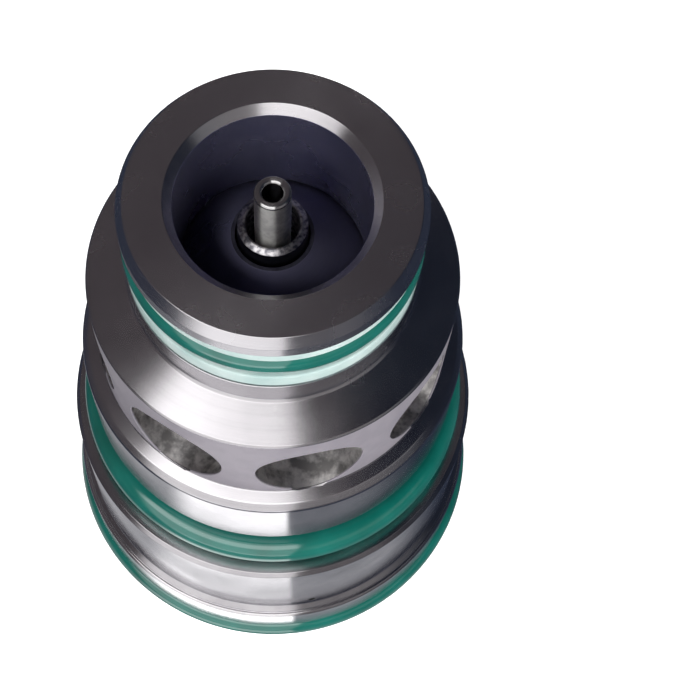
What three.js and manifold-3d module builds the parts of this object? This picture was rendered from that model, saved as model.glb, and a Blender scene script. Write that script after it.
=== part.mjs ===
// Slip-in cartridge valve, standing on its cover end with the A port nose up.
// Millimetres, +Z up. The origin is on the valve's axis, in the plane of the cover end face.
// Every height is given as a depth below the nose face, so the whole valve hangs from that face.

import * as THREE from 'three';
import { mergeVertices } from 'three/addons/utils/BufferGeometryUtils.js';
import Module from 'manifold-3d';

const wasm = await Module();
wasm.setup();

// ---------------------------------------------------------------- driving dimensions

const HEIGHT = 111.5;            // sleeve, nose face to cover end face
const GAP = 0.3;                 // clearance between neighbouring pieces
const CUT = 1;                   // how far a cutting tool runs past the face it opens

const NOSE = {
  radius: 22.5,
  faceRadius: 21.4,
  leadIn: 1.8,
  boreRadius: 14.4,
  boreChamferRadius: 15.7,
  boreChamfer: 1.35,
  end: 20.8,
};
const NOSE_GROOVE = { top: 4.1, bottom: 15.9, floor: 17.5 };
const SHOULDER = { top: 21.2, topRadius: 22.9, bottom: 23.4, edge: 0.3 };
const WAIST = { radius: 29.2, end: 44.9 };
const COLLAR = { flareRadius: 31.2, flareEnd: 45.6, radius: 32.3, top: 46.7, end: 61 };
const COLLAR_GROOVE = { floor: 28.2, floorTop: 65.4, bottom: 72.8 };
const LAND = { radius: 36.5, edge: 0.7, end: 95.2 };
const CREASE = { lipRadius: 37.4, lip: 96, radius: 37.3, floor: 96.9 };
const FLANGE = { radius: 38.2, topEdge: 0.4, edge: 0.5 };
const FLANGE_GROOVE = { top: 104.4, bottom: 109.7, floor: 34.6 };

const PORTS = { count: 8, radius: 8.6, depth: 36.5, innerReach: 17, outerReach: 32.5 };
const VENT = { radius: 0.75, depth: 92.8 };

const SEAT = { top: 20.3, bottomRadius: 15.3, bottom: 21.4 };
const GUIDE = { radius: 19, top: 22.6, mouth: 0.8 };
const COVER_BORE = { radius: 21.3, top: 97.5, mouth: 0.7 };
const CIRCLIP_GROOVE = { radius: 22.7, top: 106.3, bottom: 108.4 };

const NOSE_O_RING = { radius: 20.2, section: 2.4, depth: 9.7 };
const NOSE_BACKUP_UPPER = { outer: 22.1, top: 4.4, bottom: 7.0 };
const NOSE_BACKUP_LOWER = { outer: 22.35, top: 12.4, bottom: 15.6 };
const COLLAR_O_RING = { radius: 31.5, section: 3, depth: 69.5 };
const FLANGE_O_RING = { radius: 37.2, section: 2.3, depth: 107.05 };

const POPPET = {
  tipRadius: 6.2,
  tip: 10.8,
  coneRadius: 16,
  cone: 22.75,
  coneEdge: 24,
  neckRadius: 14,
  neckTop: 26,
  neckBottom: 45.5,
  skirtRadius: 18.7,
  skirtTop: 49,
  bottom: 84.5,
  edge: 0.5,
  springBore: 13,
  springFloor: 50,
};
const PILOT_BORE = { radius: 7.5, top: 14, ringRadius: 5.6 };
const PILOT_CIRCLIP_GROOVE = { radius: 8.4, top: 46.2, bottom: 47.5 };
const SLIDE_GROOVE = { top: 55.8, bottom: 59.8, floor: 15.3 };
const GUIDE_GROOVE = { top: 74.8, bottom: 80.8, floor: 17.2 };
const SLIDE_RING_INNER = 17.5;
const RING_OUTER = 18.75;
const ENERGISER = { radius: 16.4, section: 0.8 };

const SEAT_RING = {
  bore: 4,
  rim: 7.6,
  crownRadius: 4.3,
  crown: 7.4,
  outer: 5.3,
  outerTop: 8,
  flangeTop: 14.3,
  flangeRadius: 7.2,
  bottom: 17,
  seatRadius: 4.8,
  seat: 16.2,
};
const PILOT = {
  top: 15.8,
  topRadius: 3.2,
  headRadius: 6.2,
  cone: 18.8,
  headBottom: 22,
  stemRadius: 2.6,
  bottom: 49,
  socketRadius: 2.65,
  socketBottom: 19.5,
  bore: 1.4,
  jetBore: 1.95,
  jetTop: 45,
};
const TUBE = { radius: 2.7, bore: 1.5, rise: 1.95, crown: 0.3, shoulder: 14, spigot: 2.35, bottom: 19.2 };
const PILOT_JET = { radius: 1.65, top: 45.3, bottom: 48.6, orifice: 0.4, slotWidth: 0.7, slot: 0.9 };
const PILOT_PLATE = { radius: 7.2, bore: 2.9, top: 42.9, bottom: 45.9, holes: 4, holeRadius: 1, ring: 5.1 };
const PILOT_CIRCLIP = { outer: 8.1, inner: 6.5, top: 46.5, bottom: 47.2, lug: 1.1, lugHole: 0.5, opening: 0.5 };

const END_PLATE = {
  radius: 21,
  top: 97.8,
  bottom: 106,
  bossRadius: 8.5,
  bossTop: 93.9,
  edge: 0.5,
  bore: 2.5,
  jetBore: 4.2,
  jetTop: 100.2,
  pullerRadius: 2.5,
  pullerRing: 13.5,
  pullerTop: 99.5,
};
const END_PLATE_GROOVE = { top: 100.2, bottom: 103.5, floor: 18.4 };
const END_PLATE_O_RING = { radius: 19.85, section: 1.15, depth: 101.85 };
const END_JET = { radius: 3.9, top: 100.5, bottom: 105.8, orifice: 0.6, hexRadius: 2, hex: 2.6 };
const CIRCLIP = { outer: 22.4, inner: 19.4, top: 106.6, bottom: 108.1, lug: 2.2, lugHole: 1, opening: 0.3 };
const SHIM = { inner: 9, outer: 12.7, top: 96.5, bottom: 97.5 };

const MAIN_SPRING = {
  radius: 10.9, wire: 1.7, top: 50.3, bottom: 96.2, turns: 7, endPitch: 3.75, stepsPerTurn: 14, sides: 4,
};
const PILOT_SPRING = {
  radius: 4.4, wire: 0.6, top: 22.3, bottom: 42.6, turns: 7, endPitch: 1.5, stepsPerTurn: 10, sides: 3,
};

const FINE = 48;                 // facets round the large pieces
const MEDIUM = 32;               // facets round the poppet and its neighbours
const SMALL = 20;                // facets round the tube, the jets and the drillings
const RING_SIDES = 8;            // facets round the section of an O-ring
const THIN_RING_SIDES = 6;       // facets round the section of a thin O-ring
const HEX = 6;
const MERGE_DISTANCE = 1e-4;

// ---------------------------------------------------------------- materials

function metal(colour, roughness) {
  return new THREE.MeshStandardMaterial({ color: colour, roughness, metalness: 1 });
}

function elastomer(colour, roughness) {
  return new THREE.MeshStandardMaterial({ color: colour, roughness, metalness: 0 });
}

const MATERIALS = {
  sleeveSteel: metal(0xb0aeb4, 0.32),
  poppetSteel: metal(0x6b6d7c, 0.38),
  brightSteel: metal(0xd2d3d6, 0.22),
  springSteel: metal(0x8b8d92, 0.35),
  blackSteel: metal(0x35363b, 0.5),
  greenRubber: elastomer(0x0f6b56, 0.38),
  whitePtfe: elastomer(0xe4eae8, 0.42),
  bronzePtfe: elastomer(0x7c5f3c, 0.5),
};

// ---------------------------------------------------------------- shape helpers

function toSolid(geometry) {
  const bare = geometry.clone();
  bare.deleteAttribute('normal');
  bare.deleteAttribute('uv');
  const merged = mergeVertices(bare, MERGE_DISTANCE);
  return new wasm.Manifold(new wasm.Mesh({
    numProp: 3,
    vertProperties: merged.attributes.position.array,
    triVerts: merged.index.array,
  }));
}

function toGeometry(solid) {
  const mesh = solid.getMesh();
  const geometry = new THREE.BufferGeometry();
  geometry.setAttribute('position', new THREE.BufferAttribute(mesh.vertProperties, 3));
  geometry.setIndex(new THREE.BufferAttribute(mesh.triVerts, 1));
  geometry.computeVertexNormals();
  return geometry;
}

// Turns a closed outline of [radius, depth] points about the valve's axis. The outline runs down the
// outside and comes back up the bore.
function turned(outline, facets) {
  const points = outline.map(([radius, depth]) => new THREE.Vector2(radius, -depth));
  points.push(points[0].clone());
  points.reverse();
  return new THREE.LatheGeometry(points, facets).rotateX(Math.PI / 2);
}

// A plain ring with a square section.
function flatRing(inner, outer, top, bottom, facets) {
  return turned([[inner, top], [outer, top], [outer, bottom], [inner, bottom]], facets);
}

function oRing(ring, sides, facets) {
  const geometry = new THREE.TorusGeometry(ring.radius, ring.section, sides, facets);
  return geometry.translate(0, 0, -ring.depth);
}

// A drill or punch along the valve's axis, at a place off that axis.
function axialTool(radius, top, bottom, facets, x = 0, y = 0) {
  const geometry = new THREE.CylinderGeometry(radius, radius, bottom - top, facets);
  return toSolid(geometry.rotateX(Math.PI / 2).translate(x, y, -(top + bottom) / 2));
}

// A drill across the valve's axis, pointing outwards at the given angle.
function radialTool(radius, depth, from, to, angle, facets) {
  const geometry = new THREE.CylinderGeometry(radius, radius, to - from, facets);
  geometry.rotateZ(-Math.PI / 2).translate((from + to) / 2, 0, -depth).rotateZ(angle);
  return toSolid(geometry);
}

// The centre line of a compression spring: the pitch is small in the first and last turn, where the
// coils lie almost closed, and even between them.
class SpringLine extends THREE.Curve {
  constructor(spring) {
    super();
    this.spring = spring;
    this.length = spring.bottom - spring.top - spring.wire;
  }

  getPoint(t, target = new THREE.Vector3()) {
    const { radius, turns, endPitch, bottom, wire } = this.spring;
    const turn = t * turns;
    const activePitch = (this.length - 2 * endPitch) / (turns - 2);
    const lower = Math.min(turn, 1) * endPitch;
    const middle = THREE.MathUtils.clamp(turn - 1, 0, turns - 2) * activePitch;
    const upper = Math.max(turn - (turns - 1), 0) * endPitch;
    const angle = turn * 2 * Math.PI;
    const height = lower + middle + upper + wire / 2 - bottom;
    return target.set(radius * Math.cos(angle), radius * Math.sin(angle), height);
  }
}

// A compression spring with both ends ground flat.
function groundSpring(spring) {
  const section = new THREE.Shape().absarc(0, 0, spring.wire, 0, 2 * Math.PI);
  const wire = toSolid(new THREE.ExtrudeGeometry(section, {
    steps: spring.turns * spring.stepsPerTurn,
    curveSegments: spring.sides,
    extrudePath: new SpringLine(spring),
  }));
  const reach = spring.radius + spring.wire + CUT;
  return toGeometry(wire.intersect(axialTool(reach, spring.top, spring.bottom, SMALL)));
}

// An internal retaining ring: an open ring with a lug and a plier hole at each end.
function circlip(clip, facets) {
  const { outer, inner, top, bottom, opening, lug, lugHole } = clip;
  const outline = new THREE.Shape();
  outline.absarc(0, 0, outer, opening, 2 * Math.PI - opening, false);
  outline.absarc(0, 0, inner, 2 * Math.PI - opening, opening, true);
  const band = new THREE.ExtrudeGeometry(outline, {
    depth: bottom - top,
    bevelEnabled: false,
    curveSegments: facets,
  });
  let solid = toSolid(band.translate(0, 0, -bottom));
  for (const side of [-1, 1]) {
    const angle = side * (opening + lug / inner);
    const lugRing = inner - lug / 2;
    const x = lugRing * Math.cos(angle);
    const y = lugRing * Math.sin(angle);
    solid = solid.add(axialTool(lug, top, bottom, SMALL, x, y));
    solid = solid.subtract(axialTool(lugHole, top - CUT, bottom + CUT, SMALL, x, y));
  }
  return toGeometry(solid);
}

// ---------------------------------------------------------------- sleeve and its seals

function sleeveOutline() {
  return [
    [NOSE.boreChamferRadius, 0],
    [NOSE.faceRadius, 0],
    [NOSE.radius, NOSE.leadIn],
    [NOSE.radius, NOSE_GROOVE.top],
    [NOSE_GROOVE.floor, NOSE_GROOVE.top],
    [NOSE_GROOVE.floor, NOSE_GROOVE.bottom],
    [NOSE.radius, NOSE_GROOVE.bottom],
    [NOSE.radius, NOSE.end],
    [SHOULDER.topRadius, SHOULDER.top],
    [WAIST.radius - SHOULDER.edge, SHOULDER.bottom],
    [WAIST.radius, SHOULDER.bottom + SHOULDER.edge],
    [WAIST.radius, WAIST.end],
    [COLLAR.flareRadius, COLLAR.flareEnd],
    [COLLAR.radius, COLLAR.top],
    [COLLAR.radius, COLLAR.end],
    [COLLAR_GROOVE.floor, COLLAR_GROOVE.floorTop],
    [COLLAR_GROOVE.floor, COLLAR_GROOVE.bottom],
    [LAND.radius - LAND.edge, COLLAR_GROOVE.bottom],
    [LAND.radius, COLLAR_GROOVE.bottom + LAND.edge],
    [LAND.radius, LAND.end],
    [CREASE.lipRadius, CREASE.lip],
    [CREASE.radius, CREASE.floor],
    [FLANGE.radius - FLANGE.topEdge, CREASE.floor],
    [FLANGE.radius, CREASE.floor + FLANGE.topEdge],
    [FLANGE.radius, FLANGE_GROOVE.top],
    [FLANGE_GROOVE.floor, FLANGE_GROOVE.top],
    [FLANGE_GROOVE.floor, FLANGE_GROOVE.bottom],
    [FLANGE.radius, FLANGE_GROOVE.bottom],
    [FLANGE.radius, HEIGHT - FLANGE.edge],
    [FLANGE.radius - FLANGE.edge, HEIGHT],
    [COVER_BORE.radius + COVER_BORE.mouth, HEIGHT],
    [COVER_BORE.radius, HEIGHT - COVER_BORE.mouth],
    [COVER_BORE.radius, CIRCLIP_GROOVE.bottom],
    [CIRCLIP_GROOVE.radius, CIRCLIP_GROOVE.bottom],
    [CIRCLIP_GROOVE.radius, CIRCLIP_GROOVE.top],
    [COVER_BORE.radius, CIRCLIP_GROOVE.top],
    [COVER_BORE.radius, COVER_BORE.top],
    [GUIDE.radius + GUIDE.mouth, COVER_BORE.top],
    [GUIDE.radius, COVER_BORE.top - GUIDE.mouth],
    [GUIDE.radius, GUIDE.top],
    [SEAT.bottomRadius, SEAT.bottom],
    [NOSE.boreRadius, SEAT.top],
    [NOSE.boreRadius, NOSE.boreChamfer],
  ];
}

function sleeve() {
  let solid = toSolid(turned(sleeveOutline(), FINE));
  for (let port = 0; port < PORTS.count; port += 1) {
    const angle = (port / PORTS.count) * 2 * Math.PI;
    const tool = radialTool(PORTS.radius, PORTS.depth, PORTS.innerReach, PORTS.outerReach, angle, SMALL);
    solid = solid.subtract(tool);
  }
  const frontAngle = -Math.PI / 2;
  const vent = radialTool(VENT.radius, VENT.depth, GUIDE.radius - CUT, LAND.radius + CUT, frontAngle, SMALL / 2);
  return toGeometry(solid.subtract(vent));
}

function noseBackup(ring) {
  return flatRing(NOSE_GROOVE.floor + GAP, ring.outer, ring.top, ring.bottom, FINE);
}

// ---------------------------------------------------------------- main poppet and its rings

function mainPoppet() {
  return turned([
    [PILOT_BORE.ringRadius, POPPET.tip],
    [POPPET.tipRadius, POPPET.tip],
    [POPPET.coneRadius, POPPET.cone],
    [POPPET.coneRadius, POPPET.coneEdge],
    [POPPET.neckRadius, POPPET.neckTop],
    [POPPET.neckRadius, POPPET.neckBottom],
    [POPPET.skirtRadius, POPPET.skirtTop],
    [POPPET.skirtRadius, SLIDE_GROOVE.top],
    [SLIDE_GROOVE.floor, SLIDE_GROOVE.top],
    [SLIDE_GROOVE.floor, SLIDE_GROOVE.bottom],
    [POPPET.skirtRadius, SLIDE_GROOVE.bottom],
    [POPPET.skirtRadius, GUIDE_GROOVE.top],
    [GUIDE_GROOVE.floor, GUIDE_GROOVE.top],
    [GUIDE_GROOVE.floor, GUIDE_GROOVE.bottom],
    [POPPET.skirtRadius, GUIDE_GROOVE.bottom],
    [POPPET.skirtRadius, POPPET.bottom - POPPET.edge],
    [POPPET.skirtRadius - POPPET.edge, POPPET.bottom],
    [POPPET.springBore + POPPET.edge, POPPET.bottom],
    [POPPET.springBore, POPPET.bottom - POPPET.edge],
    [POPPET.springBore, POPPET.springFloor],
    [PILOT_BORE.radius, POPPET.springFloor],
    [PILOT_BORE.radius, PILOT_CIRCLIP_GROOVE.bottom],
    [PILOT_CIRCLIP_GROOVE.radius, PILOT_CIRCLIP_GROOVE.bottom],
    [PILOT_CIRCLIP_GROOVE.radius, PILOT_CIRCLIP_GROOVE.top],
    [PILOT_BORE.radius, PILOT_CIRCLIP_GROOVE.top],
    [PILOT_BORE.radius, PILOT_BORE.top],
    [PILOT_BORE.ringRadius, PILOT_BORE.top],
  ], MEDIUM);
}

function slideRing() {
  return flatRing(SLIDE_RING_INNER, RING_OUTER, SLIDE_GROOVE.top + GAP, SLIDE_GROOVE.bottom - GAP, MEDIUM);
}

function energiserRing() {
  const depth = (SLIDE_GROOVE.top + SLIDE_GROOVE.bottom) / 2;
  return oRing({ ...ENERGISER, depth }, THIN_RING_SIDES, MEDIUM);
}

function guideRing() {
  const inner = GUIDE_GROOVE.floor + GAP;
  return flatRing(inner, RING_OUTER, GUIDE_GROOVE.top + GAP, GUIDE_GROOVE.bottom - GAP, MEDIUM);
}

// ---------------------------------------------------------------- pilot stage inside the poppet

function pilotSeatRing() {
  return turned([
    [SEAT_RING.bore, SEAT_RING.rim],
    [SEAT_RING.crownRadius, SEAT_RING.crown],
    [SEAT_RING.outer, SEAT_RING.outerTop],
    [SEAT_RING.outer, SEAT_RING.flangeTop],
    [SEAT_RING.flangeRadius, SEAT_RING.flangeTop],
    [SEAT_RING.flangeRadius, SEAT_RING.bottom],
    [SEAT_RING.seatRadius, SEAT_RING.bottom],
    [SEAT_RING.bore, SEAT_RING.seat],
  ], SMALL);
}

function pilotPoppet() {
  return turned([
    [PILOT.socketRadius, PILOT.top],
    [PILOT.topRadius, PILOT.top],
    [PILOT.headRadius, PILOT.cone],
    [PILOT.headRadius, PILOT.headBottom],
    [PILOT.stemRadius, PILOT.headBottom],
    [PILOT.stemRadius, PILOT.bottom],
    [PILOT.jetBore, PILOT.bottom],
    [PILOT.jetBore, PILOT.jetTop],
    [PILOT.bore, PILOT.jetTop],
    [PILOT.bore, PILOT.socketBottom],
    [PILOT.socketRadius, PILOT.socketBottom],
  ], SMALL);
}

// The tube's lower end is a thinner spigot that sits in the pilot poppet's socket.
function pilotTube() {
  return turned([
    [TUBE.bore, TUBE.crown - TUBE.rise],
    [TUBE.bore + TUBE.crown, -TUBE.rise],
    [TUBE.radius - TUBE.crown, -TUBE.rise],
    [TUBE.radius, TUBE.crown - TUBE.rise],
    [TUBE.radius, TUBE.shoulder - TUBE.crown],
    [TUBE.spigot, TUBE.shoulder],
    [TUBE.spigot, TUBE.bottom],
    [TUBE.bore, TUBE.bottom],
  ], SMALL);
}

function pilotJet() {
  const { radius, top, bottom, orifice, slotWidth, slot } = PILOT_JET;
  const body = toSolid(flatRing(orifice, radius, top, bottom, SMALL));
  const blade = new THREE.BoxGeometry(2 * (radius + CUT), slotWidth, slot + CUT);
  blade.translate(0, 0, (slot - CUT) / 2 - bottom);
  return toGeometry(body.subtract(toSolid(blade)));
}

function pilotPlate() {
  const { radius, bore, top, bottom, holes, holeRadius, ring } = PILOT_PLATE;
  let solid = toSolid(flatRing(bore, radius, top, bottom, SMALL));
  for (let hole = 0; hole < holes; hole += 1) {
    const angle = (hole / holes) * 2 * Math.PI;
    const x = ring * Math.cos(angle);
    const y = ring * Math.sin(angle);
    solid = solid.subtract(axialTool(holeRadius, top - CUT, bottom + CUT, SMALL / 2, x, y));
  }
  return toGeometry(solid);
}

// ---------------------------------------------------------------- cover end

function endPlate() {
  let solid = toSolid(turned([
    [END_PLATE.bore, END_PLATE.bossTop],
    [END_PLATE.bossRadius - END_PLATE.edge, END_PLATE.bossTop],
    [END_PLATE.bossRadius, END_PLATE.bossTop + END_PLATE.edge],
    [END_PLATE.bossRadius, END_PLATE.top],
    [END_PLATE.radius - END_PLATE.edge, END_PLATE.top],
    [END_PLATE.radius, END_PLATE.top + END_PLATE.edge],
    [END_PLATE.radius, END_PLATE_GROOVE.top],
    [END_PLATE_GROOVE.floor, END_PLATE_GROOVE.top],
    [END_PLATE_GROOVE.floor, END_PLATE_GROOVE.bottom],
    [END_PLATE.radius, END_PLATE_GROOVE.bottom],
    [END_PLATE.radius, END_PLATE.bottom],
    [END_PLATE.jetBore, END_PLATE.bottom],
    [END_PLATE.jetBore, END_PLATE.jetTop],
    [END_PLATE.bore, END_PLATE.jetTop],
  ], MEDIUM));
  for (const side of [-1, 1]) {
    const y = side * END_PLATE.pullerRing;
    const { pullerRadius, pullerTop, bottom } = END_PLATE;
    solid = solid.subtract(axialTool(pullerRadius, pullerTop, bottom + CUT, SMALL / 2, 0, y));
  }
  return toGeometry(solid);
}

function endJet() {
  const { radius, top, bottom, orifice, hexRadius, hex } = END_JET;
  const body = toSolid(flatRing(orifice, radius, top, bottom, SMALL));
  return toGeometry(body.subtract(axialTool(hexRadius, bottom - hex, bottom + CUT, HEX)));
}

// ---------------------------------------------------------------- assembly

function piece(name, geometry, material) {
  const mesh = new THREE.Mesh(geometry, material);
  mesh.name = name;
  return mesh;
}

function sleeveAssembly() {
  const { sleeveSteel, greenRubber, whitePtfe } = MATERIALS;
  return new THREE.Group().add(
    piece('sleeve', sleeve(), sleeveSteel),
    piece('nose_o_ring', oRing(NOSE_O_RING, RING_SIDES, FINE), greenRubber),
    piece('nose_backup_ring_upper', noseBackup(NOSE_BACKUP_UPPER), whitePtfe),
    piece('nose_backup_ring_lower', noseBackup(NOSE_BACKUP_LOWER), whitePtfe),
    piece('collar_o_ring', oRing(COLLAR_O_RING, RING_SIDES, FINE), greenRubber),
    piece('flange_o_ring', oRing(FLANGE_O_RING, RING_SIDES, FINE), greenRubber),
  );
}

function pilotAssembly() {
  const { poppetSteel, brightSteel, springSteel } = MATERIALS;
  return new THREE.Group().add(
    piece('pilot_poppet', pilotPoppet(), poppetSteel),
    piece('pilot_tube', pilotTube(), brightSteel),
    piece('pilot_jet', pilotJet(), brightSteel),
    piece('pilot_spring', groundSpring(PILOT_SPRING), springSteel),
  );
}

function poppetAssembly() {
  const { poppetSteel, brightSteel, springSteel, blackSteel, greenRubber, bronzePtfe } = MATERIALS;
  return new THREE.Group().add(
    piece('main_poppet', mainPoppet(), poppetSteel),
    piece('pilot_seat_ring', pilotSeatRing(), brightSteel),
    piece('poppet_slide_ring', slideRing(), bronzePtfe),
    piece('poppet_energiser_ring', energiserRing(), greenRubber),
    piece('poppet_guide_ring', guideRing(), bronzePtfe),
    piece('pilot_spring_plate', pilotPlate(), poppetSteel),
    piece('pilot_retaining_ring', circlip(PILOT_CIRCLIP, SMALL / 2), blackSteel),
    piece('main_spring', groundSpring(MAIN_SPRING), springSteel),
    pilotAssembly(),
  );
}

function coverEnd() {
  const { poppetSteel, brightSteel, blackSteel, greenRubber } = MATERIALS;
  return new THREE.Group().add(
    piece('end_plate', endPlate(), poppetSteel),
    piece('end_plate_o_ring', oRing(END_PLATE_O_RING, THIN_RING_SIDES, MEDIUM), greenRubber),
    piece('end_plate_retaining_ring', circlip(CIRCLIP, MEDIUM / 2), blackSteel),
    piece('end_plate_jet', endJet(), brightSteel),
    piece('main_spring_shim', flatRing(SHIM.inner, SHIM.outer, SHIM.top, SHIM.bottom, MEDIUM), brightSteel),
  );
}

const valve = new THREE.Group();
valve.add(sleeveAssembly(), poppetAssembly(), coverEnd());
valve.position.z = HEIGHT;

export default valve;
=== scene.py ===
"""The looks of a slip-in cartridge valve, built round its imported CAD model.

Metres, +Z up, in the CAD model's own frame: the valve stands on its cover end with its nose up.
Each CAD node is rebuilt as a finer piece. A turned piece takes its outline from the CAD node
itself, gets its corners rounded and is turned again with many more facets.
"""

import math

import bmesh
import bpy
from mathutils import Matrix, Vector


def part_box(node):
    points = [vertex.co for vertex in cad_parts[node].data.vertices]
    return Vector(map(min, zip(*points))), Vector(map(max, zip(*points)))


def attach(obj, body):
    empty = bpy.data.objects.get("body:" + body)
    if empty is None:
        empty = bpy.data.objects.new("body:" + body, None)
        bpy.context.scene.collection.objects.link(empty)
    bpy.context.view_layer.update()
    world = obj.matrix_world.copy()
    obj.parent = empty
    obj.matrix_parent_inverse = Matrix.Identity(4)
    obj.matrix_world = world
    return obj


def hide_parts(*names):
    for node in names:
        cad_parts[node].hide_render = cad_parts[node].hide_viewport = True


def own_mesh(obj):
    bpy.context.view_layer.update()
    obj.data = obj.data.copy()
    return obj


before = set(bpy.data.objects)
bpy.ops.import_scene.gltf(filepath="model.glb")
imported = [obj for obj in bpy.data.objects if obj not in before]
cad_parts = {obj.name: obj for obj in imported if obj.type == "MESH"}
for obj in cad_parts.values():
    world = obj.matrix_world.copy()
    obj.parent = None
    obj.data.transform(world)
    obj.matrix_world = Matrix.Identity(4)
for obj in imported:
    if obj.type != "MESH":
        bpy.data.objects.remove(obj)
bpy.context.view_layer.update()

MM = 0.001
TURN = 2 * math.pi
FRONT = -math.pi / 2

# ---------------------------------------------------------------- how finely the pieces are made

FINE = 288                            # facets round the large pieces
POPPET_FACETS = 224
MEDIUM = 160
SMALL = 96
SPRING_STEPS = 56                     # along each turn of a spring
SPRING_SIDES = 26                     # round its wire
CLIP_STEPS = 120                      # along a retaining ring

OUTLINE_OFFSET = math.radians(0.1)    # keeps the cutting plane off the CAD facets' own edges
SLEEVE_CUT = math.radians(22.5)       # between two ports
PLATE_CUT = math.radians(36)          # between two holes of the pilot spring plate
WELD = 1e-7                           # points closer than this are one point
ON_PLANE = 1e-9                       # points closer than this to the cutting plane lie on it
LEAST_TURN = 0.02                     # the sine of the smallest turn that makes a corner
SAME_CORNER = 0.15 * MM               # how far a single corner may be from where it is said to be
FILLET_SHARE = 0.46                   # the most of a straight side that one rounded corner takes
ARC_STEP = math.radians(8)            # the most that one facet of a rounded corner turns
SHARP = math.radians(17)              # edges that turn more than this stay sharp

# ---------------------------------------------------------------- dimensions the outlines can't give

PORT_COUNT = 8
PORT_RADIUS = 8.6 * MM
PORT_HEIGHT = 75 * MM
PORT_EDGE = 0.14 * MM                 # how far the port's edge is rounded
WAIST_RADIUS = 29.2 * MM
VENT_RADIUS = 0.75 * MM
VENT_HEIGHT = 18.7 * MM
VENT_EDGE = 0.12 * MM
LAND_RADIUS = 36.5 * MM
DRILL_START = 16 * MM                 # from the axis, inside the sleeve's wall
DRILL_RUNOUT = 0.1 * MM               # past the wall, and short of the flare under the ports
DRILL_EDGE_DEGREES = range(0, 76, 15)     # round the edge of the hole
CUT_MARGIN = 1 * MM                   # how far a cutting tool starts outside the face it cuts

COLLAR_CORNERS = [                    # radius, height and fillet
    (WAIST_RADIUS, 66.6 * MM, 0.3 * MM),
    (31.2 * MM, 65.9 * MM, 0.9 * MM),
    (32.3 * MM, 64.8 * MM, 0.9 * MM),
]

FLASH_HEIGHT = 0.012                  # of an O-ring's mould line, as a share of its section
FLASH_WIDTH = 0.08                    # the sine of the angle between its middle and its foot
BACKUP_FILLET = 0.35 * MM
BACKUP_PLAY = 0.05 * MM               # how far a back-up ring is from round

# wire is the radius of the wire. keep is the share of its length that a spring keeps at full stroke.
MAIN_SPRING = {
    "radius": 10.9 * MM, "wire": 1.7 * MM, "turns": 7, "end_pitch": 3.75 * MM, "keep": 0.7386,
}
PILOT_SPRING = {
    "radius": 4.4 * MM, "wire": 0.6 * MM, "turns": 7, "end_pitch": 1.5 * MM, "keep": 0.8768,
}

# lug and lug_hole are radii. opening is half of the angle between the ring's two ends.
END_CLIP = {"inner": 19.4 * MM, "lug": 2.2 * MM, "lug_hole": 1 * MM, "opening": 0.3}
PILOT_CLIP = {"inner": 6.5 * MM, "lug": 1.1 * MM, "lug_hole": 0.5 * MM, "opening": 0.5}
CLIP_EDGE = 0.12 * MM

PLATE_HOLES = 4
PLATE_HOLE_RADIUS = 1 * MM
PLATE_PITCH_RADIUS = 5.1 * MM
END_HOLE_RADIUS = 2.5 * MM
END_HOLE_OFFSET = 13.5 * MM
END_HOLE_DEPTH = 6.5 * MM

JET_EDGE = 0.15 * MM
PILOT_ORIFICE = 0.4 * MM
SLOT_HALF_LENGTH = 3 * MM
SLOT_HALF_WIDTH = 0.35 * MM
SLOT_DEPTH = 0.9 * MM
END_ORIFICE = 0.6 * MM
SOCKET_RADIUS = 2 * MM
SOCKET_DEPTH = 2.6 * MM

# ---------------------------------------------------------------- mesh helpers


def finish_mesh(name, mesh, smooth=True):
    """Closes a bmesh into an object in the scene, with outward faces and crisp corners."""
    bmesh.ops.recalc_face_normals(mesh, faces=mesh.faces)
    data = bpy.data.meshes.new(name)
    mesh.to_mesh(data)
    mesh.free()
    piece = bpy.data.objects.new(name, data)
    bpy.context.scene.collection.objects.link(piece)
    if smooth:
        shade(piece)
    return piece


def shade(piece):
    for face in piece.data.polygons:
        face.use_smooth = True
    piece.data.set_sharp_from_angle(angle=SHARP)


def apply_modifiers(piece):
    """Replaces the piece's mesh with the result of its modifiers."""
    graph = bpy.context.evaluated_depsgraph_get()
    graph.update()
    made = bpy.data.meshes.new_from_object(piece.evaluated_get(graph), depsgraph=graph)
    piece.modifiers.clear()
    old = piece.data
    piece.data = made
    bpy.data.meshes.remove(old)


def weigh_normals(piece):
    """Flat faces stay flat beside a small rounded corner."""
    shade(piece)
    modifier = piece.modifiers.new("normals", "WEIGHTED_NORMAL")
    modifier.keep_sharp = True
    modifier.weight = 100
    apply_modifiers(piece)


def combine(piece, tool, operation):
    """Cuts the tool out of the piece, or joins it on, and removes the tool."""
    modifier = piece.modifiers.new("combine", "BOOLEAN")
    modifier.object = tool
    modifier.operation = operation
    modifier.solver = "MANIFOLD"
    apply_modifiers(piece)
    data = tool.data
    bpy.data.objects.remove(tool)
    bpy.data.meshes.remove(data)


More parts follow.
